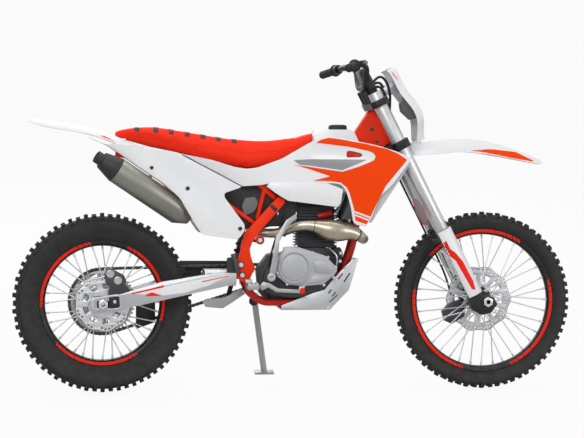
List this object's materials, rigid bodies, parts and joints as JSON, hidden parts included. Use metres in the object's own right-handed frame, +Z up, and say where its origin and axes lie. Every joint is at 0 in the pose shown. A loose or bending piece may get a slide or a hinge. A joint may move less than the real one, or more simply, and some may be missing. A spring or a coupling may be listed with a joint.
{
  "type": "trail motorcycle",
  "caption": "Trail motorcycle with tall knobbly tyres, spoked wheels, long forks, a single-cylinder engine and a high muffler, leaning on its side stand.",
  "frame": {"origin": "middle of the floor rectangle under the whole machine as it stands on its side stand", "axes": "+X forward, +Y to the rider's left, +Z up; the machine leans to its left"},
  "size_m": [2.1736, 0.8124, 1.3068],
  "materials": {
    "frame_red": "satin orange-red paint",
    "black_metal": "black anodised or painted",
    "rim_black": "gloss black",
    "spoke_steel": "bright",
    "disc_steel": "ground",
    "engine_black": "matt black",
    "cover_grey": "cast, light grey",
    "alloy": "brushed silver",
    "fork_alloy": "satin silver",
    "slider_chrome": "polished",
    "lever_steel": "forged",
    "exhaust_metal": "heat-tinted",
    "muffler_metal": "brushed grey",
    "white_plastic": "gloss white",
    "black_plastic": "black moulded",
    "seat_vinyl": "orange-red grained cover",
    "pad_foam": "black pad",
    "grip_rubber": "black",
    "caliper_grey": "dark grey",
    "chain_steel": "oiled",
    "tyre_rubber": "black knobbly"
  },
  "bodies": {
    "chassis": {"main_frame": "frame_red", "lower_cradle": "frame_red", "subframe": "frame_red", "crankcase": "engine_black", "clutch_cover": "cover_grey", "cylinder": "engine_black", "cylinder_head": "engine_black", "carburettor": "alloy", "airbox": "black_plastic", "fuel_tank": "white_plastic", "tank_cap": "black_plastic", "tank_shrouds": "white_plastic", "side_panels": "white_plastic", "seat": "seat_vinyl", "rear_fender": "white_plastic", "radiators": "alloy", "exhaust_header": "exhaust_metal", "muffler": "muffler_metal", "muffler_cap": "black_metal", "skid_plate": "alloy", "swingarm": "alloy", "chain": "chain_steel", "chain_guides": "black_plastic", "rear_shock": "black_metal", "shock_linkage": "lever_steel", "footpegs": "lever_steel", "foot_levers": "lever_steel", "rear_brake": "caliper_grey", "stand_bracket": "black_metal", "rear_axle": "slider_chrome"},
    "fork": {"triple_clamps": "black_metal", "fork_tubes": "fork_alloy", "fork_sliders": "slider_chrome", "fork_guards": "white_plastic", "axle_clamps": "black_metal", "front_axle": "slider_chrome", "front_fender": "white_plastic", "number_mask": "white_plastic", "mask_bracket": "alloy", "lamp_housing": "black_plastic", "handlebar": "black_metal", "bar_pad": "pad_foam", "grips": "grip_rubber", "bar_controls": "black_metal", "front_brake": "caliper_grey", "brake_hose": "grip_rubber"},
    "front_wheel": {"front_tyre": "tyre_rubber", "front_rim": "rim_black", "front_spokes": "spoke_steel", "front_hub": "black_metal", "front_disc": "disc_steel"},
    "rear_wheel": {"rear_tyre": "tyre_rubber", "rear_rim": "rim_black", "rear_spokes": "spoke_steel", "rear_hub": "black_metal", "rear_disc": "disc_steel", "rear_sprocket": "disc_steel"},
    "side_stand": {"side_stand": "lever_steel"}
  },
  "joints": [
    {"name": "steering", "type": "hinge", "parent": "chassis", "child": "fork", "pos_m": [0.37174, -0.04671, 0.94824], "axis": [-0.4462, 0.1431, 0.8834], "range_deg": [-42, 42]},
    {"name": "front_wheel_spin", "type": "hinge", "parent": "fork", "child": "front_wheel", "pos_m": [0.74, -0.14473, 0.34303], "axis": [0, 0.9871, -0.1599], "continuous": true},
    {"name": "rear_wheel_spin", "type": "hinge", "parent": "chassis", "child": "rear_wheel", "pos_m": [-0.74, -0.14473, 0.34303], "axis": [0, 0.9871, -0.1599], "continuous": true},
    {"name": "stand_fold", "type": "hinge", "parent": "chassis", "child": "side_stand", "pos_m": [-0.142, -0.01766, 0.32701], "axis": [0.1607, 0.9466, 0.2795], "range_deg": [0, 100]}
  ]
}
